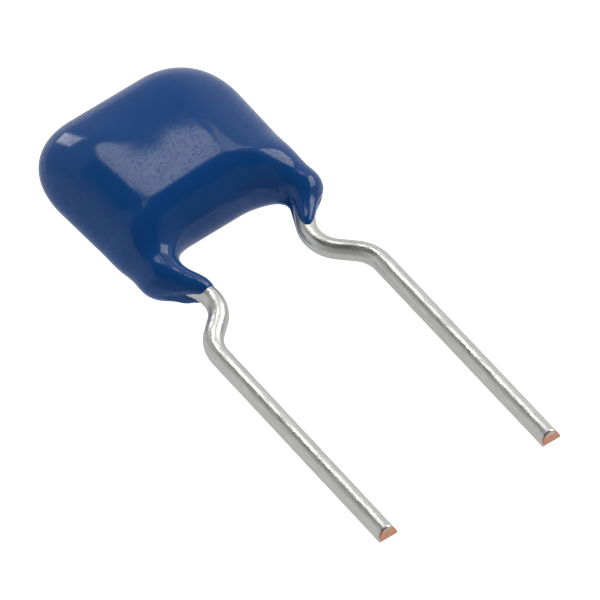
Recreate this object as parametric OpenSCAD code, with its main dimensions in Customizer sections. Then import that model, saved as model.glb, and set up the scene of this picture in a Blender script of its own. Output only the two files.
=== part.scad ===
// Polyester film capacitor: a stacked-film element with two crimped radial leads,
// dipped in epoxy. It lies on its lower face. X runs across the two leads, the
// leads point along -Y and Z is the thickness. The origin is under the middle of
// the whole part, at the level of the lower face.

/* [Dipped body] */
// Width of the body, across the two leads
body_w = 5.7; // [5.4:0.1:7]
// Height of the body, from the edge between the legs to the far edge
body_h = 4.7; // [4.4:0.1:7]
// Thickness of the body between its two flat faces
body_t = 2.1; // [1.9:0.1:3.5]
// Distance over which each flat face rolls over to the body's two sides
side_roll = 1.85; // [1.5:0.05:2]
// Distance over which each flat face rolls over to the edge between the legs
near_roll = 1.1; // [0.8:0.05:1.3]
// Distance over which each flat face rolls over to the far edge
far_roll = 2; // [1.6:0.05:2.2]
// Squareness of the outline's far corners, where 2 gives an ellipse
far_power = 2.25; // [2:0.05:3]
// Squareness of the outline's corners beside the legs
near_power = 3.9; // [2.5:0.1:5]
// How much each side flares out from the body's middle to its far edge
side_flare = 0.07; // [0:0.01:0.15]
// Lean of the dipped body on its leads, in degrees
body_lean = 1.3; // [0:0.1:3]

/* [Coated legs] */
// Length of the coated legs below the edge between them
leg_length = 1.46; // [1.2:0.02:1.7]
// Distance from the body's middle to where each leg starts inside it
leg_root_x = 1.8; // [1.6:0.05:2]
// Depth inside the body at which each leg starts, above the edge between the legs
leg_root_in = 0.46; // [0.3:0.02:0.7]
// Radius of a leg where it starts
leg_root_r = 0.43; // [0.38:0.01:0.55]
// Drop of a leg's knee below the wire's first bend
knee_drop = 0.06; // [0:0.01:0.1]
// Radius of a leg at its knee
knee_r = 0.46; // [0.42:0.01:0.6]
// Rounding inside a leg's knee
knee_fillet = 0.3; // [0.1:0.02:0.4]
// How far a leg's tip lies outside the straight line from the wire's bend to the crimp
tip_out = 0.04; // [0:0.01:0.06]
// Thickness of the epoxy skin round the wire at a leg's tip
tip_skin = 0.1; // [0.06:0.005:0.14]
// Size of the fillet between the legs and the body
leg_fillet = 0.78; // [0.4:0.02:1]
// How much further the skin runs along the top of the wire, for each mm of height
tip_slope = 0.5; // [0:0.05:0.8]

/* [Leads] */
// Distance between the two leads
pitch = 5; // [4.6:0.1:5.4]
// Diameter of the tinned copper wire
wire_d = 0.53; // [0.4:0.01:0.6]
// Length from the body's lower edge to the cut ends
lead_reach = 10.32; // [6:0.02:20]
// Drop from the body's lower edge to the bend where the wire turns inwards
bend_drop = 0.42; // [0.3:0.02:0.5]
// Drop from the body's lower edge to the innermost point of the crimp
crimp_drop = 1.95; // [1.8:0.01:2.1]
// How far the crimp reaches inwards from the straight lead
crimp_depth = 1.18; // [1:0.01:1.3]
// Drop from the body's lower edge to the start of the straight lead
straight_drop = 3.02; // [2.9:0.02:3.3]
// Radius of the wire's bends, at its centre
bend_r = 0.9; // [0.7:0.02:0.95]
// How much the wire's radius swells where it is bent
bend_swell = 0.004; // [0.003:0.001:0.01]
// Slope of the two facets left by the cutter, in degrees
cut_angle = 20; // [5:1:35]

/* [Element inside] */
// Epoxy outside the wire at the body's widest point
wire_cover = 0.3; // [0.25:0.01:0.4]
// Epoxy over the element's flat faces
face_cover = 0.45; // [0.4:0.01:0.55]
// Epoxy beyond the element at the far edge
far_cover = 1; // [0.9:0.02:1.3]
// Epoxy below the element, at the edge between the legs
near_cover = 0.5; // [0.4:0.01:0.7]
// Thickness of the sprayed metal on each end of the film stack
spray_t = 0.22; // [0.15:0.01:0.3]
// Thickness of the bare film on each face of the stack
cover_film_t = 0.1; // [0.05:0.01:0.15]
// Depth of the flat pressed on the wire where it is joined to the sprayed metal
weld_flat = 0.03; // [0.02:0.005:0.05]
// Distance from the wire's upper end to the top of the element
wire_end_gap = 0.5; // [0.3:0.05:0.9]
// Height of the solder fillets, out from the sprayed metal
solder_h = 0.16; // [0.1:0.01:0.2]
// Width of the solder fillets' foot, on each side of the wire's middle
solder_w = 0.34; // [0.3:0.01:0.4]
// Length of the solder fillets
solder_length = 2.2; // [1:0.1:2.3]
// Gap that the epoxy leaves round the solder fillets
solder_gap = 0.01; // [0.005:0.005:0.03]

/* [Hidden] */
$fn = 48;

// Number of sections round the shell, and of points round a section
sections = 64;
loop = 36;
// Step and limit of the search for the outline along a ray
search_step = 0.1;
search_end = body_w + body_h;
// Shortest and longest spoke that is tried for a point of a section
spoke_range = [0.3, 3];
halvings = 16;
// Length by which each straight stretch of wire runs on into the bends beside it,
// and past the cut before the cutter takes it off
lap = 0.04;

wire_r = wire_d / 2;
mid_z = body_t / 2;
overall = body_h + lead_reach;
edge_y = overall / 2 - body_h;
tips_y = edge_y - leg_length;
cut_y = -overall / 2;

// The body's own frame has its origin between the tips of the two legs. Its upper
// points are [across, up], and the body leans about that origin.
bend_up = leg_length - bend_drop;
crimp_up = leg_length - crimp_drop;
crimp_x = pitch / 2 - crimp_depth;
wire_x = body_w / 2 - wire_cover - wire_r;
spray_x = wire_x - wire_r + weld_flat;
stack_x = spray_x - spray_t;
element_low = leg_length + near_cover;
element_high = leg_length + body_h - far_cover;
element_h = element_high - element_low;
element_t = body_t - 2 * face_cover;
stack_t = element_t - 2 * cover_film_t;
wire_end_up = element_high - wire_end_gap;

// A coated leg tapers from its root inside the body to its knee, and on to its tip
leg_root = [leg_root_x, leg_length + leg_root_in];
leg_knee = [wire_x, bend_up - knee_drop];
leg_tip = [wire_x + (crimp_x - wire_x) * bend_up / (bend_up - crimp_up) + tip_out, 0];
tip_r = wire_r + tip_skin;

function clamp(x) = min(max(x, 0), 1);
function ease(x) = let (t = clamp(x)) t * t * (3 - 2 * t);
function mix(a, b, t) = a + (b - a) * t;
function unit(v) = v / norm(v);
function cross_2d(a, b) = a[0] * b[1] - a[1] * b[0];
function angle_of(v) = atan2(v[1], v[0]);
function smooth_max(a, b, k) =
    let (t = clamp(0.5 + 0.5 * (a - b) / k)) mix(b, a, t) + k * t * (1 - t);

// Depth of a point [across, up, height] inside the body, above 0 inside it. Two shares
// rise from 0 at the edge of the flat area to 1 at the outline, each over its own roll.
function body_depth(p) =
    let (y = p[1] - leg_length - body_h / 2,
         roll = y > 0 ? far_roll : near_roll,
         power = y > 0 ? far_power : near_power,
         half_w = body_w / 2 + side_flare * y / (body_h / 2),
         ux = max(abs(p[0]) - half_w + side_roll, 0) / side_roll,
         uy = max(abs(y) - body_h / 2 + roll, 0) / roll,
         u = pow(pow(ux, power) + pow(uy, power), 1 / power))
    mid_z * (1 - norm([u, p[2] / mid_z]));

// Depth of a point inside a round taper between two points of the mid plane
function taper_depth(p, start, end, start_r, end_r) =
    let (axis = end - start,
         q = [p[0], p[1]] - start,
         t = clamp(q * axis / (axis * axis)),
         away = q - t * axis)
    mix(start_r, end_r, ease(t)) - norm([away[0], away[1], p[2]]);

// Depth of a point inside a coated leg, on either side
function leg_depth(p) =
    let (q = [abs(p[0]), p[1], p[2]])
    smooth_max(taper_depth(q, leg_root, leg_knee, leg_root_r, knee_r),
               taper_depth(q, leg_knee, leg_tip, knee_r, tip_r), knee_fillet);

function depth(p) = smooth_max(body_depth(p), leg_depth(p), leg_fillet);

// The mid plane's outline is searched along a ray from the origin of the body's frame
function on_ray(a, r) = [r * cos(a), r * sin(a), 0];
function rim(a, inside, outside, n) =
    let (m = (inside + outside) / 2)
    n == 0 ? m
    : depth(on_ray(a, m)) > 0 ? rim(a, m, outside, n - 1)
    : rim(a, inside, m, n - 1);
function rims(a) =
    let (hits = [for (r = [search_step:search_step:search_end]) if (depth(on_ray(a, r)) > 0) r],
         last = hits[len(hits) - 1])
    [rim(a, hits[0], hits[0] - search_step, halvings), rim(a, last, last + search_step, halvings)];

// A point on a spoke of the section at angle a. The section's middle lies halfway
// between its rims, and size holds half its width and the half height of its spokes.
function on_spoke(a, middle, size, way, k) =
    let (r = middle + k * size[0] * way[0]) [r * cos(a), r * sin(a), k * size[1] * way[1]];
function reach(a, middle, size, way, inside, outside, n) =
    let (k = (inside + outside) / 2)
    n == 0 ? k
    : depth(on_spoke(a, middle, size, way, k)) > 0 ? reach(a, middle, size, way, k, outside, n - 1)
    : reach(a, middle, size, way, inside, k, n - 1);

// A point of the shell: it leans along the wire near the tips, more so higher up
function shell_point(p) =
    [p[0], p[1] - tip_slope * p[2] * ease((bend_up - p[1]) / bend_up), mid_z + p[2]];

// One closed section: over the top from the inner rim to the outer, and back below
function section(a) =
    let (ends = rims(a),
         middle = (ends[0] + ends[1]) / 2,
         half = (ends[1] - ends[0]) / 2,
         size = [half, min(half, mid_z)])
    [for (i = [0:loop - 1])
        let (turn = 180 - 360 * i / loop,
             way = [cos(turn), sin(turn)],
             k = reach(a, middle, size, way, spoke_range[0], spoke_range[1], halvings))
        shell_point(on_spoke(a, middle, size, way, k))];

module epoxy_shell() {
    points = [for (s = [0:sections]) each section(180 * s / sections)];
    sides = [for (s = [0:sections - 1], i = [0:loop - 1])
        let (j = (i + 1) % loop, a = s * loop + i, b = s * loop + j, c = b + loop, d = a + loop)
        each [[a, c, b], [a, d, c]]];
    ends = [[for (i = [0:loop - 1]) i], [for (i = [loop - 1:-1:0]) sections * loop + i]];
    polyhedron(points = points, faces = concat(sides, ends), convexity = 6);
}

// Places children from the body's own frame
module on_body() {
    translate([0, tips_y, 0]) rotate([0, 0, body_lean]) children();
}
function from_body(p) =
    [p[0] * cos(body_lean) - p[1] * sin(body_lean),
     tips_y + p[0] * sin(body_lean) + p[1] * cos(body_lean)];

// A block in the body's frame, centred on mid thickness, from x0 to x1 on one side
module block(side, x0, x1, y0, y1, t) {
    on_body() translate([side > 0 ? x0 : -x1, y0, mid_z - t / 2]) cube([x1 - x0, y1 - y0, t]);
}

// Corner points of a lead's centre line, from its joined end to its cut end
function lead_line(side) = [
    from_body([side * wire_x, wire_end_up]),
    from_body([side * wire_x, bend_up]),
    from_body([side * crimp_x, crimp_up]),
    [side * pitch / 2, edge_y - straight_drop],
    [side * pitch / 2, cut_y - lap]];

// Turn at a corner, in degrees, and the length there that isn't straight wire
function turn(a, b, c) = asin(cross_2d(unit(b - a), unit(c - b)));
function trim(line, i) =
    i == 0 || i == len(line) - 1 ? 0
    : bend_r * tan(abs(turn(line[i - 1], line[i], line[i + 1])) / 2) - lap;

module straight_wire(from, to) {
    translate([from[0], from[1], mid_z]) rotate([0, 0, angle_of(to - from)]) rotate([0, 90, 0])
        cylinder(r = wire_r, h = norm(to - from));
}

// The arc of wire that rounds corner b of the line a, b, c
module wire_bend(a, b, c) {
    t = turn(a, b, c);
    way = unit(b - a);
    hand = sign(t) * [-way[1], way[0]];
    centre = b - way * bend_r * tan(abs(t) / 2) + hand * bend_r;
    translate([centre[0], centre[1], mid_z])
        rotate([0, 0, angle_of(-hand) + min(t, 0)])
            rotate_extrude(angle = abs(t)) translate([bend_r, 0]) circle(r = wire_r + bend_swell);
}

module wire(side) {
    line = lead_line(side);
    for (i = [0:len(line) - 2]) {
        way = unit(line[i + 1] - line[i]);
        straight_wire(line[i] + way * trim(line, i), line[i + 1] - way * trim(line, i + 1));
    }
    for (i = [1:len(line) - 2])
        wire_bend(line[i - 1], line[i], line[i + 1]);
}

// Two slanting cuts that leave a ridge across the middle of the wire's end
module cutter_jaws() {
    for (flip = [0, 180])
        rotate([0, flip, 0]) rotate([-cut_angle, 0, 0])
            translate([-wire_d, -2 * wire_d, -wire_r]) cube([2 * wire_d, 2 * wire_d, 3 * wire_d]);
}

// A lead of tinned copper wire, pressed flat where it meets the sprayed metal
module lead(side) {
    difference() {
        wire(side);
        translate([side * pitch / 2, cut_y, mid_z]) cutter_jaws();
        block(side, spray_x - wire_r, spray_x, element_low, element_high, 2 * wire_d);
    }
}

// The two fillets of solder that hold a lead to the sprayed metal
module solder_band(side, gap) {
    middle = (element_low + wire_end_up) / 2;
    half_length = solder_length / 2 + gap;
    block(side, spray_x - gap, spray_x + solder_h + gap,
          middle - half_length, middle + half_length, 2 * (solder_w + gap));
}
module solder(side) {
    difference() {
        solder_band(side, 0);
        wire(side);
    }
}

module end_spray(side) {
    block(side, stack_x, spray_x, element_low, element_high, element_t);
}

// The bare film that covers one face of the stack
module cover_film(face) {
    on_body() translate([-stack_x, element_low, mid_z + (face > 0 ? stack_t / 2 : -element_t / 2)])
        cube([2 * stack_x, element_h, cover_film_t]);
}

module coating() {
    color("#1f4788") difference() {
        on_body() epoxy_shell();
        block(1, -spray_x, spray_x, element_low, element_high, element_t);
        for (side = [-1, 1]) {
            solder_band(side, solder_gap);
            wire(side);
        }
    }
}
module film_stack() {
    color("#c9ccd0") block(1, -stack_x, stack_x, element_low, element_high, stack_t);
}
module upper_cover_film() {
    color("#e6dfc8") cover_film(1);
}
module lower_cover_film() {
    color("#e6dfc8") cover_film(-1);
}
module left_end_spray() {
    color("#8f9296") end_spray(-1);
}
module right_end_spray() {
    color("#8f9296") end_spray(1);
}
module left_solder() {
    color("#b9bcbf") solder(-1);
}
module right_solder() {
    color("#b9bcbf") solder(1);
}
module left_lead() {
    color("#c6c8c4") lead(-1);
}
module right_lead() {
    color("#c6c8c4") lead(1);
}

coating();
film_stack();
upper_cover_film();
lower_cover_film();
left_end_spray();
right_end_spray();
left_solder();
right_solder();
left_lead();
right_lead();
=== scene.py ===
"""Polyester film capacitor: the dipped epoxy coating, the tinned leads, the finishes of the
element inside and a small studio.

X runs across the two leads, the leads point along -Y and Z is the thickness. Lengths are in
metres. The body's own frame has its origin between the tips of the two coated legs; a point
there is (across, up) and the body leans about that origin.
"""

import math

import bpy
import numpy as np
from bpy.props import FloatProperty, FloatVectorProperty, IntProperty, PointerProperty
from mathutils import Matrix, Vector


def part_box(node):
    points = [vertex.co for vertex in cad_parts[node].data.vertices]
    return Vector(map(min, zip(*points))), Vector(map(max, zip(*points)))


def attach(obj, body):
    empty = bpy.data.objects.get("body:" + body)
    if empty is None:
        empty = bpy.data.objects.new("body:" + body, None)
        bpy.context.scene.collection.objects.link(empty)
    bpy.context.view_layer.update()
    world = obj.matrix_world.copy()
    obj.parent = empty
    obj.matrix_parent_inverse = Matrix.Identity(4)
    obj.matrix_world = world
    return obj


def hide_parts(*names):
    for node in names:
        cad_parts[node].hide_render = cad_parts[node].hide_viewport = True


bl_info = {
    "name": "Polyester film capacitor",
    "version": (1, 0, 0),
    "blender": (4, 5, 0),
    "location": "3D View > Sidebar > Capacitor",
    "description": "Epoxy coating, tinned leads, element finishes and studio of a dipped capacitor",
    "category": "Object",
}

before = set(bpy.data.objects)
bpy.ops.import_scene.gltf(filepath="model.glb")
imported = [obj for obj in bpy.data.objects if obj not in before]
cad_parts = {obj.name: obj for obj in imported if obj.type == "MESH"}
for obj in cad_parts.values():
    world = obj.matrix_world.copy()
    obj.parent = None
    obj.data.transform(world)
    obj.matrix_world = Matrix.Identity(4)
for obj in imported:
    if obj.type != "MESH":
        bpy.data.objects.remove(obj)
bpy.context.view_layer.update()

MM = 0.001
BODY = "root"
COATING_LOW, COATING_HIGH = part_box("coating")
THICKNESS = float(COATING_HIGH[2] - COATING_LOW[2])


# ---------------------------------------------------------------- settings


class CoatingSettings(bpy.types.PropertyGroup):
    """Sizes of the dipped epoxy coating."""

    width: FloatProperty(
        name="Width", description="Across the two leads", default=5.7 * MM, unit="LENGTH")
    height: FloatProperty(
        name="Height", description="From the edge between the legs to the far edge",
        default=4.7 * MM, unit="LENGTH")
    thickness: FloatProperty(
        name="Thickness", description="Between the two flat faces", default=THICKNESS, unit="LENGTH")
    side_roll: FloatProperty(
        name="Side roll", description="Distance over which a face rolls over to each side",
        default=1.85 * MM, unit="LENGTH")
    near_roll: FloatProperty(
        name="Near roll", description="Distance over which a face rolls over between the legs",
        default=1.09 * MM, unit="LENGTH")
    far_roll: FloatProperty(
        name="Far roll", description="Distance over which a face rolls over to the far edge",
        default=2.0 * MM, unit="LENGTH")
    far_power: FloatProperty(
        name="Far squareness", description="Squareness of the outline's far corners: 2 is an ellipse",
        default=2.25, min=2, max=6)
    near_power: FloatProperty(
        name="Near squareness", description="Squareness of the outline's corners beside the legs",
        default=3.9, min=2, max=6)
    side_flare: FloatProperty(
        name="Side flare", description="How much each side flares out towards the far edge",
        default=0.07 * MM, unit="LENGTH")
    lean: FloatProperty(
        name="Lean", description="Lean of the body on its leads", default=math.radians(1.33),
        subtype="ANGLE", unit="ROTATION")
    leg_length: FloatProperty(
        name="Leg length", description="Length of the coated legs", default=1.46 * MM, unit="LENGTH")
    root_across: FloatVectorProperty(
        name="Leg roots", description="Where the left and right leg start inside the body, across",
        default=(1.77 * MM, 1.86 * MM), size=2, unit="LENGTH")
    root_up: FloatProperty(
        name="Root height", description="Where the legs start inside the body, above the tips",
        default=1.92 * MM, unit="LENGTH")
    root_radius: FloatProperty(
        name="Root radius", description="Radius of a coated leg where it starts",
        default=0.43 * MM, unit="LENGTH")
    knee_across: FloatVectorProperty(
        name="Knees", description="Where the left and right leg turn inwards, across",
        default=(2.19 * MM, 2.326 * MM), size=2, unit="LENGTH")
    knee_up: FloatVectorProperty(
        name="Knee heights", description="Where the left and right leg turn inwards, above the tips",
        default=(0.94 * MM, 0.995 * MM), size=2, unit="LENGTH")
    knee_radius: FloatVectorProperty(
        name="Knee radii", description="Radius of the left and right leg where it turns",
        default=(0.482 * MM, 0.425 * MM), size=2, unit="LENGTH")
    knee_fillet: FloatProperty(
        name="Knee fillet", description="Rounding inside a leg's knee", default=0.3 * MM, unit="LENGTH")
    tip_across: FloatProperty(
        name="Tips", description="Where the legs end, across", default=1.674 * MM, unit="LENGTH")
    tip_radius: FloatVectorProperty(
        name="Tip radii", description="Radius of the left and right leg at its tip",
        default=(0.4 * MM, 0.33 * MM), size=2, unit="LENGTH")
    fillet: FloatProperty(
        name="Fillet", description="Size of the fillet between the legs and the body",
        default=0.78 * MM, unit="LENGTH")
    crown: FloatVectorProperty(
        name="Crown", description="Upper face: middle across, middle up and how far it can sink",
        default=(0.075 * MM, 3.12 * MM, 0.06 * MM), size=3, unit="LENGTH")
    crown_bend: FloatVectorProperty(
        name="Crown bend", description="Curvature of the upper face across and up, per metre",
        default=(20.8, 79.0), size=2)
    far_lump: FloatVectorProperty(
        name="Far lump", description="Across, up, height and spread of the lump by the far left corner",
        default=(-0.982 * MM, 4.85 * MM, 0.032 * MM, 0.3 * MM), size=4, unit="LENGTH")
    hollow: FloatVectorProperty(
        name="Hollow", description="Across, up, height and spread of the hollow beside it",
        default=(-0.003 * MM, 4.625 * MM, -0.0204 * MM, 0.44 * MM), size=4, unit="LENGTH")
    middle_lump: FloatVectorProperty(
        name="Middle lump", description="Across, up, height and spread of the lump on the face",
        default=(0.479 * MM, 4.0 * MM, 0.0113 * MM, 0.35 * MM), size=4, unit="LENGTH")
    tongue: FloatProperty(
        name="Tongue", description="How far the skin runs out along the wire beyond the leg's tip",
        default=0.2 * MM, unit="LENGTH")
    sections: IntProperty(
        name="Sections", description="Sections from one leg to the other", default=560, min=8)
    around: IntProperty(
        name="Points around", description="Points around one section", default=144, min=8)


class LeadSettings(bpy.types.PropertyGroup):
    """Sizes of the two leads."""

    pitch: FloatProperty(
        name="Pitch", description="Distance between the leads", default=5 * MM, unit="LENGTH")
    diameter: FloatProperty(
        name="Wire diameter", description="Diameter of the wire", default=0.53 * MM, unit="LENGTH")
    reach: FloatProperty(
        name="Reach", description="From the body's lower edge to the cut ends",
        default=10.32 * MM, unit="LENGTH")
    cover: FloatProperty(
        name="Cover", description="Epoxy outside the wire at the body's widest point",
        default=0.3 * MM, unit="LENGTH")
    inside: FloatProperty(
        name="Inside", description="Length of wire inside the body", default=3.62 * MM, unit="LENGTH")
    bend_drop: FloatProperty(
        name="Bend drop", description="From the lower edge to the bend where the wire turns inwards",
        default=0.42 * MM, unit="LENGTH")
    crimp_drop: FloatProperty(
        name="Crimp drop", description="From the lower edge to the innermost point of the crimp",
        default=1.95 * MM, unit="LENGTH")
    crimp_depth: FloatProperty(
        name="Crimp depth", description="How far the crimp reaches inwards",
        default=1.18 * MM, unit="LENGTH")
    straight_drop: FloatProperty(
        name="Straight drop", description="From the lower edge to the start of the straight lead",
        default=3.02 * MM, unit="LENGTH")
    bend_radius: FloatProperty(
        name="Bend radius", description="Radius of the bends at the wire's centre",
        default=0.9 * MM, unit="LENGTH")
    cut_slope: FloatVectorProperty(
        name="Cut slopes", description="Slope of the upper and the lower facet left by the cutter",
        default=(math.radians(20), math.radians(34)), size=2, subtype="EULER", unit="ROTATION")


class FinishSettings(bpy.types.PropertyGroup):
    """Colours and gloss of the finishes."""

    epoxy: FloatVectorProperty(
        name="Epoxy", description="Colour of the dipped epoxy", default=(0.008, 0.094, 0.36),
        subtype="COLOR", min=0, max=1)
    epoxy_roughness: FloatProperty(
        name="Epoxy roughness", description="Roughness of the dipped epoxy", default=0.1, min=0, max=1)
    tin: FloatVectorProperty(
        name="Tin", description="Colour of the tinning", default=(0.84, 0.84, 0.81),
        subtype="COLOR", min=0, max=1)
    copper: FloatVectorProperty(
        name="Copper", description="Colour of the bare copper on the cut faces",
        default=(0.93, 0.46, 0.3), subtype="COLOR", min=0, max=1)


class StudioSettings(bpy.types.PropertyGroup):
    """Camera and floor."""

    azimuth: FloatProperty(
        name="Azimuth", description="Turn of the camera about the vertical",
        default=math.radians(-37.86), subtype="ANGLE", unit="ROTATION")
    elevation: FloatProperty(
        name="Elevation", description="Height of the camera above the floor",
        default=math.radians(51.91), subtype="ANGLE", unit="ROTATION")
    roll: FloatProperty(
        name="Roll", description="Turn of the camera about its own axis",
        default=math.radians(1.39), subtype="ANGLE", unit="ROTATION")
    distance: FloatProperty(
        name="Distance", description="From the camera to the middle of the view",
        default=355.85 * MM, unit="LENGTH")
    view_width: FloatProperty(
        name="View width", description="Width of the view at that distance",
        default=14.77 * MM, unit="LENGTH")
    target: FloatVectorProperty(
        name="Target", description="Middle of the view",
        default=(-0.209 * MM, -0.796 * MM, 1.789 * MM), subtype="XYZ", unit="LENGTH")
    floor_size: FloatProperty(
        name="Floor", description="Side of the square floor", default=0.8, unit="LENGTH")


# ---------------------------------------------------------------- formulas


def clamp(x):
    """x held between 0 and 1."""
    return np.clip(x, 0.0, 1.0)


def ease(x):
    """0 below 0 and 1 above 1, with a smooth step 3t^2 - 2t^3 between."""
    t = clamp(x)
    return t * t * (3 - 2 * t)


def mix(a, b, t):
    """a where t is 0, b where t is 1 and in proportion between."""
    return a + (b - a) * t


def smooth_max(a, b, k):
    """The larger of a and b, rounded over where they differ by less than k."""
    t = clamp(0.5 + 0.5 * (a - b) / k)
    return mix(b, a, t) + k * t * (1 - t)


class CentreLine:
    """A line through corner points whose corners are rounded by arcs of one radius.

    It is kept as densely spaced points, and at(s) reads place and heading at arc length s.
    """

    SPACING = 0.01 * MM

    def __init__(self, corners, radius):
        corners = np.asarray(corners, float)
        steps = np.diff(corners, axis=0)
        lengths = np.linalg.norm(steps, axis=1)
        ways = steps / lengths[:, None]
        headings = np.unwrap(np.arctan2(ways[:, 1], ways[:, 0]))
        turns = np.diff(headings)
        trims = np.concatenate([[0], radius * np.tan(np.abs(turns) / 2), [0]])
        straights = lengths - trims[:-1] - trims[1:]
        arcs = radius * np.abs(turns)
        stretches = np.empty(len(straights) + len(arcs))
        stretches[0::2] = straights
        stretches[1::2] = arcs
        ends = np.concatenate([[0], np.cumsum(stretches)])
        self.length = ends[-1]
        self.s = np.linspace(0, self.length, int(self.length / self.SPACING) + 2)
        self.heading = np.interp(self.s, ends, np.repeat(headings, 2))
        step = self.s[1]
        middle = (self.heading[1:] + self.heading[:-1]) / 2
        way = np.stack([np.cos(middle), np.sin(middle)], axis=1) * step
        self.place = corners[0] + np.concatenate([[[0, 0]], np.cumsum(way, axis=0)])

    def at(self, s):
        """Place (x, y) and heading at arc length s, for an array of any shape."""
        x = np.interp(s, self.s, self.place[:, 0])
        y = np.interp(s, self.s, self.place[:, 1])
        return x, y, np.interp(s, self.s, self.heading)

    def nearest(self, x, y, low, high):
        """Arc length of the line's nearest point to each point (x, y), between two limits."""
        near = (self.s >= low) & (self.s <= high)
        places, lengths = self.place[near], self.s[near]
        away = (x[..., None] - places[:, 0]) ** 2 + (y[..., None] - places[:, 1]) ** 2
        return lengths[np.argmin(away, axis=-1)]


class Layout:
    """Sizes that the coating and the leads share, worked out from their settings."""

    def __init__(self, coating, lead):
        self.overall = coating.height + lead.reach
        self.edge_y = self.overall / 2 - coating.height
        self.tips_y = self.edge_y - coating.leg_length
        self.cut_y = -self.overall / 2
        self.mid_z = coating.thickness / 2
        self.wire_r = lead.diameter / 2
        self.wire_x = coating.width / 2 - lead.cover - self.wire_r
        self.bend_up = coating.leg_length - lead.bend_drop
        self.crimp_up = coating.leg_length - lead.crimp_drop
        self.crimp_x = lead.pitch / 2 - lead.crimp_depth
        self.lean = coating.lean

    def from_body(self, across, up):
        """A point of the body's frame, leaning about the origin between the leg tips."""
        c, s = math.cos(self.lean), math.sin(self.lean)
        return across * c - up * s, self.tips_y + across * s + up * c

    def lead_line(self, lead, side):
        """Centre line of one lead, from its joined end to its cut end."""
        return CentreLine(
            [
                self.from_body(side * self.wire_x, self.bend_up + lead.inside),
                self.from_body(side * self.wire_x, self.bend_up),
                self.from_body(side * self.crimp_x, self.crimp_up),
                (side * lead.pitch / 2, self.edge_y - lead.straight_drop),
                (side * lead.pitch / 2, self.cut_y),
            ],
            lead.bend_radius,
        )


def face_relief(across, up, coating):
    """Height that the cured epoxy adds to the upper face.

    The face sinks away from its middle as a parabola, x^2 and y^2 times half the two
    curvatures, which levels off at a greatest depth. Each lump adds its height times
    exp(-d^2 / 2 s^2), with d the distance from its middle and s its spread.
    """
    middle_across, middle_up, depth = coating.crown
    bend_across, bend_up = coating.crown_bend
    fall = (bend_across * (across - middle_across) ** 2 + bend_up * (up - middle_up) ** 2) / 2
    relief = -depth * (1 - np.exp(-fall / depth))
    for lump_across, lump_up, height, size in (coating.far_lump, coating.hollow, coating.middle_lump):
        away = (across - lump_across) ** 2 + (up - lump_up) ** 2
        relief = relief + height * np.exp(-away / (2 * size**2))
    return relief


def pillow_depth(across, up, z, coating):
    """Depth inside the dipped body.

    The body is the set where u^2 + uz^2 < 1. uz is height over half the thickness, and u is
    (ux^n + uy^n)^(1/n), where ux and uy rise from 0 at the edge of the flat area to 1 at the
    outline, each over its own roll, and n is the squareness. The depth is half the thickness
    times one less the root of that sum. Half the thickness includes the upper face's relief.
    """
    y = up - coating.leg_length - coating.height / 2
    half_w = coating.width / 2 + coating.side_flare * y / (coating.height / 2)
    roll = np.where(y > 0, coating.far_roll, coating.near_roll)
    n = np.where(y > 0, coating.far_power, coating.near_power)
    ux = np.maximum(np.abs(across) - half_w + coating.side_roll, 0) / coating.side_roll
    uy = np.maximum(np.abs(y) - coating.height / 2 + roll, 0) / roll
    u = (ux**n + uy**n) ** (1 / n)
    uz = z / (coating.thickness / 2 + np.where(z > 0, face_relief(across, up, coating), 0))
    return coating.thickness / 2 * (1 - np.sqrt(u**2 + uz**2))


def taper_depth(x, y, z, start, end, start_r, end_r):
    """Depth inside a round taper from one point (x, y) of the mid plane to another.

    The radius eases from the first to the second, so that tapers join without a crease.
    """
    ax, ay = end[0] - start[0], end[1] - start[1]
    dx, dy = x - start[0], y - start[1]
    t = clamp((dx * ax + dy * ay) / (ax * ax + ay * ay))
    away = np.sqrt((dx - t * ax) ** 2 + (dy - t * ay) ** 2 + z**2)
    return mix(start_r, end_r, ease(t)) - away


def leg_depth(across, up, z, coating, side):
    """Depth inside one coated leg: a taper down to its knee and one on along the wire."""
    i = 0 if side < 0 else 1
    across = side * across
    root = (coating.root_across[i], coating.root_up)
    knee = (coating.knee_across[i], coating.knee_up[i])
    tip = (coating.tip_across, 0)
    thigh = taper_depth(across, up, z, root, knee, coating.root_radius, coating.knee_radius[i])
    shin = taper_depth(across, up, z, knee, tip, coating.knee_radius[i], coating.tip_radius[i])
    return smooth_max(thigh, shin, coating.knee_fillet)


def shell_depth(across, up, z, coating):
    """Depth inside the whole coating: body and legs, run together by a soft fillet."""
    body = pillow_depth(across, up, z, coating)
    legs = np.maximum(leg_depth(across, up, z, coating, -1), leg_depth(across, up, z, coating, 1))
    return smooth_max(body, legs, coating.fillet)


def edge_of(depth_at, inside, outside, rounds=26):
    """Halves the stretch between an inside and an outside parameter down to the surface."""
    for _ in range(rounds):
        middle = (inside + outside) / 2
        within = depth_at(middle) > 0
        inside = np.where(within, middle, inside)
        outside = np.where(within, outside, middle)
    return (inside + outside) / 2


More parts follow.
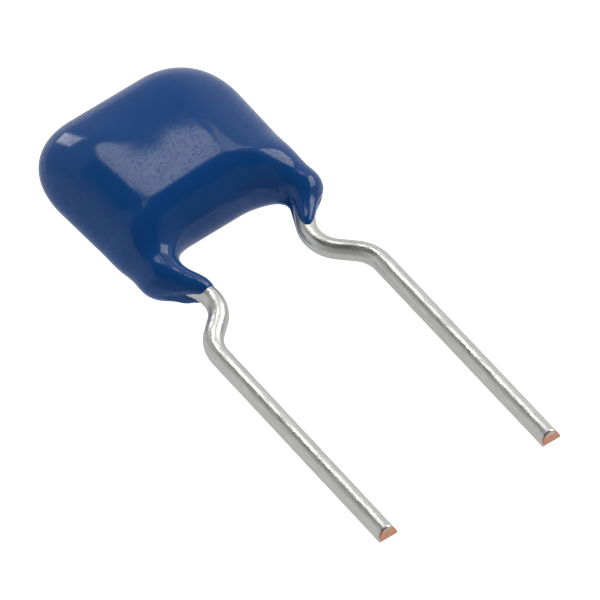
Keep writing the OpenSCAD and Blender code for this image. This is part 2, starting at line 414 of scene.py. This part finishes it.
def coating_rings(coating, layout):
    """Points of the coating as rings in the body's frame, from the right leg to the left.

    Ring a is cut by a half-plane that stands on the origin between the leg tips at angle a,
    from 0 to 180 degrees. Its two rims are found on the mid plane, and each of its points
    lies on a ray from halfway between them, in direction (half length x cos t, half
    thickness x sin t), where the depth is nothing.
    """
    a = np.linspace(0, math.pi, coating.sections + 1)
    step = 0.05 * MM
    reach = 2 * (coating.leg_length + coating.height)
    search = np.arange(step, reach, step)[:, None]
    within = shell_depth(search * np.cos(a), search * np.sin(a), 0 * search, coating) > 0
    first = search[np.argmax(within, axis=0), 0]
    last = search[len(search) - 1 - np.argmax(within[::-1], axis=0), 0]

    def on_ray(r):
        return shell_depth(r * np.cos(a), r * np.sin(a), 0 * a, coating)

    near = edge_of(on_ray, first, first - step)
    far = edge_of(on_ray, last, last + step)
    middle, half = (near + far)[:, None] / 2, (far - near)[:, None] / 2
    t = np.linspace(0, 2 * math.pi, coating.around, endpoint=False)[None, :]
    deep = np.minimum(layout.mid_z, half)
    out, rise = half * np.cos(t), deep * np.sin(t)
    a = a[:, None]

    def on_spoke(k):
        r = middle + k * out
        return shell_depth(r * np.cos(a), r * np.sin(a), k * rise, coating)

    k = edge_of(on_spoke, inside=0.3, outside=3.0)
    r = middle + k * out
    return r * np.cos(a), r * np.sin(a), k * rise


# ---------------------------------------------------------------- meshes


def ring_faces(rings, around):
    """Quads between neighbouring rings, whose points run anticlockwise seen from the far end."""
    ring = np.arange(rings - 1)[:, None] * around
    this = np.arange(around)[None, :]
    following = (this + 1) % around
    quads = np.stack(
        [ring + this, ring + following, ring + around + following, ring + around + this], axis=-1)
    return quads.reshape(-1, 4)


def closed_tube(name, points, flip=False):
    """A mesh from points[ring, around, xyz], closed at each end by a fan about its middle."""
    rings, around, _ = points.shape
    quads = ring_faces(rings, around)
    centres = np.stack([points[0].mean(axis=0), points[-1].mean(axis=0)])
    this = np.arange(around)
    following = (this + 1) % around
    first_end, last_end = rings * around, rings * around + 1
    low = np.stack([np.full(around, first_end), following, this], axis=-1)
    top = (rings - 1) * around
    high = np.stack([np.full(around, last_end), top + this, top + following], axis=-1)
    fans = np.concatenate([low, high])
    if flip:
        quads, fans = quads[:, ::-1], fans[:, ::-1]
    verts = np.concatenate([points.reshape(-1, 3), centres]).astype(np.float32)
    mesh = bpy.data.meshes.new(name)
    mesh.vertices.add(len(verts))
    mesh.vertices.foreach_set("co", verts.ravel())
    corners = np.concatenate([quads.ravel(), fans.ravel()]).astype(np.int32)
    totals = np.concatenate([np.full(len(quads), 4), np.full(len(fans), 3)]).astype(np.int32)
    starts = np.concatenate([[0], np.cumsum(totals)[:-1]]).astype(np.int32)
    mesh.loops.add(len(corners))
    mesh.loops.foreach_set("vertex_index", corners)
    mesh.polygons.add(len(totals))
    mesh.polygons.foreach_set("loop_start", starts)
    mesh.polygons.foreach_set("loop_total", totals)
    mesh.polygons.foreach_set("use_smooth", np.ones(len(totals), bool))
    mesh.update(calc_edges=True)
    mesh.validate()
    return mesh


def add_piece(name, mesh, material, slot, *nodes):
    """Puts a mesh into the scene as a piece of the part that stands for some CAD nodes."""
    piece = bpy.data.objects.new(name, mesh)
    bpy.context.scene.collection.objects.link(piece)
    piece.data.materials.append(material)
    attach(piece, BODY)
    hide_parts(*nodes)


# ---------------------------------------------------------------- node helpers


def new_material(name):
    """An empty node material with a Principled shader; gives the tree, shader and material."""
    material = bpy.data.materials.new(name)
    material.use_nodes = True
    tree = material.node_tree
    shader = tree.nodes["Principled BSDF"]
    return tree, shader, material


def add_node(tree, kind, inputs=None, **settings):
    """A node with its settings, and values or links for its inputs by socket name or index."""
    node = tree.nodes.new(kind)
    for key, value in settings.items():
        setattr(node, key, value)
    for key, value in (inputs or {}).items():
        if isinstance(value, bpy.types.NodeSocket):
            tree.links.new(value, node.inputs[key])
        else:
            node.inputs[key].default_value = value
    return node


def new_group(name, inputs, outputs):
    """An empty shader node group with float, vector or colour sockets."""
    group = bpy.data.node_groups.new(name, "ShaderNodeTree")
    kinds = {"float": "NodeSocketFloat", "vector": "NodeSocketVector", "colour": "NodeSocketColor"}
    for label, kind, default in inputs:
        socket = group.interface.new_socket(label, in_out="INPUT", socket_type=kinds[kind])
        if default is not None:
            socket.default_value = default
    for label, kind in outputs:
        group.interface.new_socket(label, in_out="OUTPUT", socket_type=kinds[kind])
    entry = group.nodes.new("NodeGroupInput")
    leave = group.nodes.new("NodeGroupOutput")
    return group, entry, leave


def object_coordinates(tree):
    """Place on the piece, in metres."""
    return add_node(tree, "ShaderNodeTexCoord").outputs["Object"]


def spread(tree, value, low, high, start=0.0, end=1.0, **settings):
    """Maps a value from start-end to low-high."""
    inputs = {"Value": value, "From Min": start, "From Max": end, "To Min": low, "To Max": high}
    return add_node(tree, "ShaderNodeMapRange", inputs, **settings).outputs["Result"]


def worked_out(tree, operation, *values, **settings):
    """Works out one operation on values, each given as a number or a link."""
    inputs = dict(enumerate(values))
    return add_node(tree, "ShaderNodeMath", inputs, operation=operation, **settings).outputs[0]


def make_uneven(tree, shader, height, strength, distance):
    """Tilts a shader's normal by the slopes of a height, given as a link."""
    inputs = {"Height": height, "Strength": strength, "Distance": distance}
    bump = add_node(tree, "ShaderNodeBump", inputs)
    tree.links.new(bump.outputs["Normal"], shader.inputs["Normal"])


def grain_group():
    """Fine grain: noise in a given size of grain, as a value about 0.5 with a given contrast."""
    if "fine_grain" in bpy.data.node_groups:
        return bpy.data.node_groups["fine_grain"]
    group, entry, leave = new_group(
        "fine_grain",
        [("Vector", "vector", None), ("Density", "float", 1000.0), ("Contrast", "float", 1.0)],
        [("Value", "float")])
    noise = add_node(group, "ShaderNodeTexNoise",
                     {"Vector": entry.outputs["Vector"], "Scale": entry.outputs["Density"],
                      "Detail": 3.0, "Roughness": 0.6})
    centred = worked_out(group, "ADD", noise.outputs["Fac"], -0.5)
    scaled = worked_out(group, "MULTIPLY_ADD", centred, entry.outputs["Contrast"], 0.5, use_clamp=True)
    group.links.new(scaled, leave.inputs["Value"])
    return group


def add_grain(tree, vector, density, contrast):
    """Places the fine grain group in a material and gives its value."""
    inputs = {"Vector": vector, "Density": density, "Contrast": contrast}
    return add_node(tree, "ShaderNodeGroup", inputs, node_tree=grain_group()).outputs["Value"]


def blend_colours(tree, factor, first, second):
    """Mixes two colours, given as values or links, by a factor."""
    node = add_node(tree, "ShaderNodeMix", {"Factor": factor}, data_type="RGBA")
    colour_inputs = [s for s in node.inputs if s.type == "RGBA"]
    for socket, value in zip(colour_inputs, (first, second)):
        if isinstance(value, bpy.types.NodeSocket):
            tree.links.new(value, socket)
        else:
            socket.default_value = (*value[:3], 1.0)
    return [s for s in node.outputs if s.type == "RGBA"][0]


def shaded(colour, amount):
    """A colour with each channel times an amount."""
    return tuple(channel * amount for channel in colour)


def epoxy_material(finish):
    """Glossy dipped epoxy: deep blue, a little cloudy, with a fine pebbled skin.

    The clear coat is weaker on the pebbles, which shows as dark specks in a highlight.
    """
    tree, shader, material = new_material("blue_epoxy")
    place = object_coordinates(tree)
    clouds = add_grain(tree, place, density=900.0, contrast=1.2)
    colour = blend_colours(tree, clouds, shaded(finish.epoxy, 0.93), shaded(finish.epoxy, 1.07))
    tree.links.new(colour, shader.inputs["Base Color"])
    pebbles = add_grain(tree, place, density=16000.0, contrast=1.8)
    roughness = spread(tree, pebbles, finish.epoxy_roughness * 0.9, finish.epoxy_roughness * 1.3)
    tree.links.new(roughness, shader.inputs["Roughness"])
    coat = spread(tree, pebbles, 1.0, 0.4, start=0.49, end=0.66)
    tree.links.new(coat, shader.inputs["Coat Weight"])
    make_uneven(tree, shader, pebbles, strength=0.25, distance=0.003 * MM)
    shader.inputs["IOR"].default_value = 1.25
    shader.inputs["Coat IOR"].default_value = 1.36
    shader.inputs["Coat Roughness"].default_value = finish.epoxy_roughness
    return material


def tin_material(finish):
    """Tinned copper wire: bright with dull patches and scratches along its length.

    The attribute "drawn" is the place along and about the wire and "cut" the height on a cut
    face, from -1 to 1 and -1 off the faces. The upper facet is bare copper up to the tin
    that the cutter dragged over its edge.
    """
    tree, shader, material = new_material("tinned_copper")
    place = object_coordinates(tree)
    drawn = add_node(tree, "ShaderNodeAttribute", attribute_name="drawn").outputs["Vector"]
    scratches = add_grain(tree, drawn, density=14000.0, contrast=2.6)
    clouds = add_grain(tree, place, density=2500.0, contrast=1.4)
    tin = blend_colours(tree, clouds, shaded(finish.tin, 0.92), finish.tin)
    height = add_node(tree, "ShaderNodeAttribute", attribute_name="cut").outputs["Fac"]
    ragged = worked_out(tree, "MULTIPLY_ADD", clouds, 0.5, height)
    above_ridge = spread(tree, height, 0.0, 1.0, start=0.02, end=0.1)
    below_drag = spread(tree, ragged, 1.0, 0.0, start=0.95, end=1.05)
    bare = worked_out(tree, "MULTIPLY", above_ridge, below_drag)
    colour = blend_colours(tree, bare, tin, finish.copper)
    tree.links.new(colour, shader.inputs["Base Color"])
    tree.links.new(spread(tree, scratches, 0.9, 0.6), shader.inputs["Metallic"])
    tree.links.new(spread(tree, scratches, 0.18, 0.4), shader.inputs["Roughness"])
    dents = add_grain(tree, place, density=2600.0, contrast=2.0)
    worn = worked_out(tree, "MULTIPLY_ADD", dents, 3.5, scratches)
    make_uneven(tree, shader, worn, strength=0.3, distance=0.006 * MM)
    return material


def grained_material(name, colour, density, metallic, roughness):
    """Bare film, sprayed metal or solder: a grained surface of one colour."""
    tree, shader, material = new_material(name)
    place = object_coordinates(tree)
    grain = add_grain(tree, place, density, contrast=1.6)
    tree.links.new(blend_colours(tree, grain, shaded(colour, 0.75), colour), shader.inputs["Base Color"])
    tree.links.new(spread(tree, grain, roughness * 0.8, min(roughness * 1.2, 1)),
                   shader.inputs["Roughness"])
    shader.inputs["Metallic"].default_value = metallic
    make_uneven(tree, shader, grain, strength=0.5, distance=0.01 * MM)
    return material


def edge_lines_material():
    """Edges of the stacked metallised film: fine bright and dark lines, layer upon layer."""
    tree, shader, material = new_material("stacked_film")
    place = object_coordinates(tree)
    waves = add_node(tree, "ShaderNodeTexWave",
                     {"Vector": place, "Scale": 6000.0, "Distortion": 0.6, "Detail": 2.0},
                     bands_direction="Z")
    layers = waves.outputs["Fac"]
    dark_edge, bright_edge = (0.34, 0.35, 0.37), (0.72, 0.73, 0.75)
    tree.links.new(blend_colours(tree, layers, dark_edge, bright_edge), shader.inputs["Base Color"])
    tree.links.new(spread(tree, layers, 0.45, 0.25), shader.inputs["Roughness"])
    shader.inputs["Metallic"].default_value = 0.8
    make_uneven(tree, shader, layers, strength=0.4, distance=0.006 * MM)
    return material


# ---------------------------------------------------------------- operators


def settings_of(context):
    """The settings of the coating, the leads, the finishes and the studio."""
    scene = context.scene
    return scene.coating_settings, scene.lead_settings, scene.finish_settings, scene.studio_settings


class CAPACITOR_OT_coating(bpy.types.Operator):
    """Makes the dipped epoxy coating with its two tapering legs"""

    bl_idname = "capacitor.coating"
    bl_label = "Epoxy coating"

    # Where the skin is drawn back: angle about the wire, depth in millimetres, width in degrees
    NOTCHES = {
        1: ((-5, 0.7, 48), (165, 0.9, 38)),
        -1: ((180, 0.5, 28), (-70, 0.3, 40)),
    }
    # The skin's greatest thickness at a distance from its end is the sum of these terms,
    # each its thickness times (distance / reach)^power
    SKIN_TERMS = ((0.16 * MM, 0.5 * MM, 0.6), (0.45 * MM, 0.75 * MM, 4))
    # How softly that limit takes over, and how far under the wire's surface the skin ends
    SKIN_ROUNDING = 0.05 * MM
    SKIN_SINK = 0.015 * MM
    # Stretch of wire that a leg can lie on, before its tip and beyond it
    BEFORE_TIP, BEYOND_TIP = 1.8 * MM, 1.2 * MM
    # Rings that carry the skin on to its end, and the shortest stretch that they take up
    TONGUE_RINGS = 40
    TONGUE_STUB = 0.03 * MM
    # Angle that each leg takes up, of the half turn about the origin, in degrees
    LEG_SECTOR = 36

    def skin_end(self, angle, side, coating):
        """How far beyond the leg's tip the skin ends, by the angle about the wire.

        It is the tongue's length less some notches, each its depth times
        exp(-2 (1 - cos d) / w^2), with d the angle from its middle and w its width.
        """
        end = coating.tongue
        for middle, depth, width in self.NOTCHES[side]:
            away = 2 * (1 - np.cos(angle - math.radians(middle))) / math.radians(width) ** 2
            end = end - depth * MM * np.exp(-away)
        return end

    def thinned(self, radius, left, layout):
        """Distance from the wire's centre, held down where little of the skin is left.

        Left is the distance to the skin's end. The limit is the wire's radius, less the sink,
        plus the sum of the skin's terms.
        """
        left = np.maximum(left, 0)
        skin = sum(thick * (left / reach) ** power for thick, reach, power in self.SKIN_TERMS)
        return -smooth_max(-radius, -(layout.wire_r - self.SKIN_SINK + skin), self.SKIN_ROUNDING)

    def leg_end(self, x, y, z, side, line, coating, layout):
        """The rings of one leg with the skin thinned towards its end, and rings beyond them.

        Each point keeps its angle about the wire. The further rings carry the points of the
        first ring on along the wire to where the skin ends.
        """
        tip_x, tip_y = layout.from_body(side * coating.tip_across, 0)
        tip = line.nearest(np.array([tip_x]), np.array([tip_y]), 0, line.length)[0]
        s = line.nearest(x, y, tip - self.BEFORE_TIP, tip + self.BEYOND_TIP)
        cx, cy, heading = line.at(s)
        across = (y - cy) * np.cos(heading) - (x - cx) * np.sin(heading)
        angle = np.arctan2(z, across)
        full = np.hypot(across, z)
        end = tip + self.skin_end(angle, side, coating)
        radius = self.thinned(full, end - s, layout)
        shift = (radius - full) * np.cos(angle)
        x = x - np.sin(heading) * shift
        y = y + np.cos(heading) * shift
        z = radius * np.sin(angle)
        t = np.linspace(1, 0, self.TONGUE_RINGS + 1)[:-1, None]
        last = np.maximum(end[0], s[0] + self.TONGUE_STUB)
        s = mix(s[0], last, t)
        cx, cy, heading = line.at(s)
        radius = self.thinned(full[0], end[0] - s, layout)
        across = radius * np.cos(angle[0])
        return (np.concatenate([cx - np.sin(heading) * across, x]),
                np.concatenate([cy + np.cos(heading) * across, y]),
                np.concatenate([radius * np.sin(angle[0]), z]))

    def execute(self, context):
        coating, lead, finish, _ = settings_of(context)
        layout = Layout(coating, lead)
        across, up, z = coating_rings(coating, layout)
        x, y = layout.from_body(across, up)
        leg = coating.sections * self.LEG_SECTOR // 180
        right = self.leg_end(x[:leg], y[:leg], z[:leg], 1, layout.lead_line(lead, 1), coating, layout)
        left = self.leg_end(x[:-leg - 1:-1], y[:-leg - 1:-1], z[:-leg - 1:-1], -1,
                            layout.lead_line(lead, -1), coating, layout)
        x = np.concatenate([right[0], x[leg:-leg], left[0][::-1]])
        y = np.concatenate([right[1], y[leg:-leg], left[1][::-1]])
        z = np.concatenate([right[2], z[leg:-leg], left[2][::-1]])
        points = np.stack([x, y, z + layout.mid_z], axis=-1)
        mesh = closed_tube("epoxy_coating", points, flip=True)
        add_piece("epoxy_coating", mesh, epoxy_material(finish), "epoxy", "coating")
        return {"FINISHED"}


class CAPACITOR_OT_leads(bpy.types.Operator):
    """Makes the two crimped leads of tinned copper wire with their cut ends"""

    bl_idname = "capacitor.leads"
    bl_label = "Tinned leads"

    AROUND = 48
    RING_STEP = 0.03 * MM
    # Rings of the cut faces, as shares of the wire's radius
    CUT_SHARES = (1.0, 0.985, 0.95, 0.8, 0.6, 0.4, 0.2, 0.05)
    # How many times longer than wide a scratch is
    SCRATCH_LENGTH = 7

    def wire(self, line, layout, lead):
        """Rings of the wire: a circle carried along its centre line, then the cut faces.

        The cut faces are two slopes from a ridge across the wire: y rises from the ridge by
        the tangent of the slope times the distance from mid thickness. The rings come with
        the tin's two attributes and the number of the first ring on the cut.
        """
        rise = math.tan(max(lead.cut_slope)) * layout.wire_r
        s = np.arange(0, line.length - rise, self.RING_STEP)[:, None]
        t = np.linspace(0, 2 * math.pi, self.AROUND, endpoint=False)[None, :]
        x, y, heading = line.at(s)
        across, up = layout.wire_r * np.cos(t), layout.wire_r * np.sin(t)
        side = np.stack([x - np.sin(heading) * across, y + np.cos(heading) * across,
                         up + 0 * s], axis=-1)
        end_x, end_y, heading = line.at(line.length)
        shares = np.array(self.CUT_SHARES)[:, None]
        across, up = shares * layout.wire_r * np.cos(t), shares * layout.wire_r * np.sin(t)
        slope = np.where(up > 0, math.tan(lead.cut_slope[0]), math.tan(lead.cut_slope[1])) * np.abs(up)
        end = np.stack([end_x - math.sin(heading) * across, end_y + slope + 0 * across, up], axis=-1)
        points = np.concatenate([side, end])
        points[..., 2] += layout.mid_z
        cut = np.concatenate([-np.ones(side.shape[:2]), shares * np.sin(t)])
        along = np.concatenate([s, line.length + 0 * shares])
        drawn = np.stack([layout.wire_r * np.cos(t) + 0 * along, layout.wire_r * np.sin(t) + 0 * along,
                          along / self.SCRATCH_LENGTH + 0 * t], axis=-1)
        return points, cut, drawn, len(side)

    def execute(self, context):
        coating, lead, finish, _ = settings_of(context)
        layout = Layout(coating, lead)
        material = tin_material(finish)
        for name, side in (("left_lead", -1), ("right_lead", 1)):
            points, cut, drawn, cut_ring = self.wire(layout.lead_line(lead, side), layout, lead)
            mesh = closed_tube("tinned_" + name, points)
            # Each attribute ends with its values at the middles of the joined and the cut end
            cut = np.concatenate([cut.ravel(), [-1, 0]])
            height = mesh.attributes.new("cut", "FLOAT", "POINT")
            height.data.foreach_set("value", cut.astype(np.float32))
            drawn = np.concatenate([drawn.reshape(-1, 3), drawn[[0, -1]].mean(axis=1)])
            vector = mesh.attributes.new("drawn", "FLOAT_VECTOR", "POINT")
            vector.data.foreach_set("vector", drawn.astype(np.float32).ravel())
            around = self.AROUND
            smooth = np.ones(len(mesh.polygons), bool)
            smooth[cut_ring * around:(len(points) - 1) * around] = False
            smooth[-around:] = False
            mesh.polygons.foreach_set("use_smooth", smooth)
            add_piece("tinned_" + name, mesh, material, "tinned_wire", name)
        return {"FINISHED"}


class CAPACITOR_OT_element(bpy.types.Operator):
    """Gives the element's solids their finishes: film, bare film, sprayed metal and solder"""

    bl_idname = "capacitor.element"
    bl_label = "Element finishes"

    def execute(self, context):
        bare = grained_material("bare_polyester_film", (0.78, 0.74, 0.62),
                                density=3000.0, metallic=0.0, roughness=0.3)
        spray = grained_material("sprayed_metal", (0.42, 0.43, 0.44),
                                 density=9000.0, metallic=0.9, roughness=0.6)
        solder = grained_material("solder", (0.66, 0.67, 0.68),
                                  density=2500.0, metallic=1.0, roughness=0.25)
        finishes = {
            "film_stack": edge_lines_material(),
            "upper_cover_film": bare, "lower_cover_film": bare,
            "left_end_spray": spray, "right_end_spray": spray,
            "left_solder": solder, "right_solder": solder,
        }
        for node, material in finishes.items():
            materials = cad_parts[node].data.materials
            materials.clear()
            materials.append(material)
        return {"FINISHED"}


class CAPACITOR_OT_studio(bpy.types.Operator):
    """Sets up the floor, the soft lights and the camera"""

    bl_idname = "capacitor.studio"
    bl_label = "Studio"

    LIGHT_DISTANCE = 0.5
    # Azimuth, elevation, half width, half height in degrees, and radiance
    SOFTBOXES = {
        "main_softbox": (64, 55.4, 9.8, 7.1, 2.9),
        "second_softbox": (39, 49, 5, 7, 1.4),
        "side_softbox": (2, 36, 12, 14, 3.3),
        "far_softbox": (84, 18, 5, 13, 3.7),
    }
    # The room's light by the direction (x, y, z) that it comes from: brightness of the walls
    # by y, and what it is multiplied by towards the ceiling, by z, and the sides, by |x|
    WALLS = {"start": -0.35, "end": 0.25, "low": 0.19, "high": 0.36}
    CEILING = {"start": 0.78, "end": 0.86, "low": 1.0, "high": 0.15}
    SIDES = {"start": 0.4, "end": 0.75, "low": 1.0, "high": 1.7}

    def camera_axes(self, studio):
        """Directions to the camera, and right and up in its view."""
        a, e, r = studio.azimuth, studio.elevation, studio.roll
        back = Vector((math.sin(a) * math.cos(e), -math.cos(a) * math.cos(e), math.sin(e)))
        level = Vector((math.cos(a), math.sin(a), 0))
        upright = back.cross(level)
        return (back, math.cos(r) * level + math.sin(r) * upright,
                math.cos(r) * upright - math.sin(r) * level)

    def add_camera(self, context, studio):
        """A camera that stands back from the middle of the view and frames its width."""
        back, right, up = self.camera_axes(studio)
        data = bpy.data.cameras.new("studio_camera")
        data.sensor_width = 36.0
        data.lens = data.sensor_width * studio.distance / studio.view_width
        data.clip_start = 0.01
        data.clip_end = 10.0
        camera = bpy.data.objects.new("studio_camera", data)
        camera.matrix_world = Matrix.Translation(Vector(studio.target) + studio.distance * back) @ \
            Matrix((right, up, back)).transposed().to_4x4()
        context.scene.collection.objects.link(camera)
        context.scene.camera = camera

    def add_softbox(self, context, name, azimuth, elevation, half_width, half_height, radiance):
        """An area light of a given radiance that faces the part from a direction.

        The angles are in degrees: where it stands, and how far its edges lie from its middle.
        """
        a, e = math.radians(azimuth), math.radians(elevation)
        toward = Vector((math.cos(a) * math.cos(e), math.sin(a) * math.cos(e), math.sin(e)))
        level = Vector((-math.sin(a), math.cos(a), 0))
        turned = Matrix((level, toward.cross(level), toward)).transposed().to_4x4()
        data = bpy.data.lights.new(name, "AREA")
        data.shape = "RECTANGLE"
        data.size = 2 * self.LIGHT_DISTANCE * math.tan(math.radians(half_width))
        data.size_y = 2 * self.LIGHT_DISTANCE * math.tan(math.radians(half_height))
        data.energy = radiance * math.pi * data.size * data.size_y
        light = bpy.data.objects.new(name, data)
        light.matrix_world = Matrix.Translation(toward * self.LIGHT_DISTANCE) @ turned
        context.scene.collection.objects.link(light)

    def add_floor(self, context, studio):
        """A pale matt floor that glows faintly, and shows as white to the camera."""
        half = studio.floor_size / 2
        mesh = bpy.data.meshes.new("studio_floor")
        mesh.from_pydata([(-half, -half, 0), (half, -half, 0), (half, half, 0), (-half, half, 0)],
                         [], [(0, 1, 2, 3)])
        tree, shader, material = new_material("pale_floor")
        shader.inputs["Base Color"].default_value = (0.65, 0.65, 0.65, 1)
        shader.inputs["Roughness"].default_value = 1.0
        shader.inputs["Specular IOR Level"].default_value = 0.0
        shader.inputs["Emission Color"].default_value = (1, 1, 1, 1)
        seen = add_node(tree, "ShaderNodeLightPath").outputs["Is Camera Ray"]
        tree.links.new(spread(tree, seen, 0.3, 1.1), shader.inputs["Emission Strength"])
        mesh.materials.append(material)
        floor = bpy.data.objects.new("studio_floor", mesh)
        context.scene.collection.objects.link(floor)

    def add_world(self, context):
        """A dim room: grey walls, brighter behind and beside the part, and a dark ceiling."""
        world = bpy.data.worlds.new("studio_room")
        world.use_nodes = True
        tree = world.node_tree
        way = add_node(tree, "ShaderNodeTexCoord").outputs["Generated"]
        axes = add_node(tree, "ShaderNodeSeparateXYZ", {"Vector": way})
        smooth = {"interpolation_type": "SMOOTHSTEP"}
        walls = spread(tree, axes.outputs["Y"], **self.WALLS, **smooth)
        ceiling = spread(tree, axes.outputs["Z"], **self.CEILING, **smooth)
        across = worked_out(tree, "ABSOLUTE", axes.outputs["X"])
        sides = spread(tree, across, **self.SIDES, **smooth)
        room = worked_out(tree, "MULTIPLY", walls, ceiling)
        light = worked_out(tree, "MULTIPLY", room, sides)
        background = tree.nodes["Background"]
        tree.links.new(light, background.inputs["Strength"])
        background.inputs["Color"].default_value = (1, 1, 1, 1)
        context.scene.world = world

    def execute(self, context):
        studio = context.scene.studio_settings
        self.add_floor(context, studio)
        self.add_world(context)
        for name, place in self.SOFTBOXES.items():
            self.add_softbox(context, name, *place)
        self.add_camera(context, studio)
        view = context.scene.view_settings
        view.view_transform = "Standard"
        view.look = "None"
        return {"FINISHED"}


class CAPACITOR_PT_sidebar(bpy.types.Panel):
    """Buttons and settings of the capacitor"""

    bl_idname = "CAPACITOR_PT_sidebar"
    bl_label = "Film capacitor"
    bl_space_type = "VIEW_3D"
    bl_region_type = "UI"
    bl_category = "Capacitor"

    def draw(self, context):
        column = self.layout.column()
        for operator in OPERATORS:
            column.operator(operator.bl_idname)
        for settings in settings_of(context):
            box = self.layout.box()
            for name in settings.bl_rna.properties.keys():
                if name not in ("rna_type", "name"):
                    box.prop(settings, name)


SETTINGS = {
    "coating_settings": CoatingSettings,
    "lead_settings": LeadSettings,
    "finish_settings": FinishSettings,
    "studio_settings": StudioSettings,
}
OPERATORS = (CAPACITOR_OT_coating, CAPACITOR_OT_leads, CAPACITOR_OT_element, CAPACITOR_OT_studio)


def register():
    for cls in (*SETTINGS.values(), *OPERATORS, CAPACITOR_PT_sidebar):
        bpy.utils.register_class(cls)
    for name, cls in SETTINGS.items():
        setattr(bpy.types.Scene, name, PointerProperty(type=cls))


def unregister():
    for name in SETTINGS:
        delattr(bpy.types.Scene, name)
    for cls in reversed((*SETTINGS.values(), *OPERATORS, CAPACITOR_PT_sidebar)):
        bpy.utils.unregister_class(cls)


def main():
    """Makes every piece and the studio."""
    register()
    bpy.ops.capacitor.coating()
    bpy.ops.capacitor.leads()
    bpy.ops.capacitor.element()
    bpy.ops.capacitor.studio()


if __name__ == "__main__":
    main()
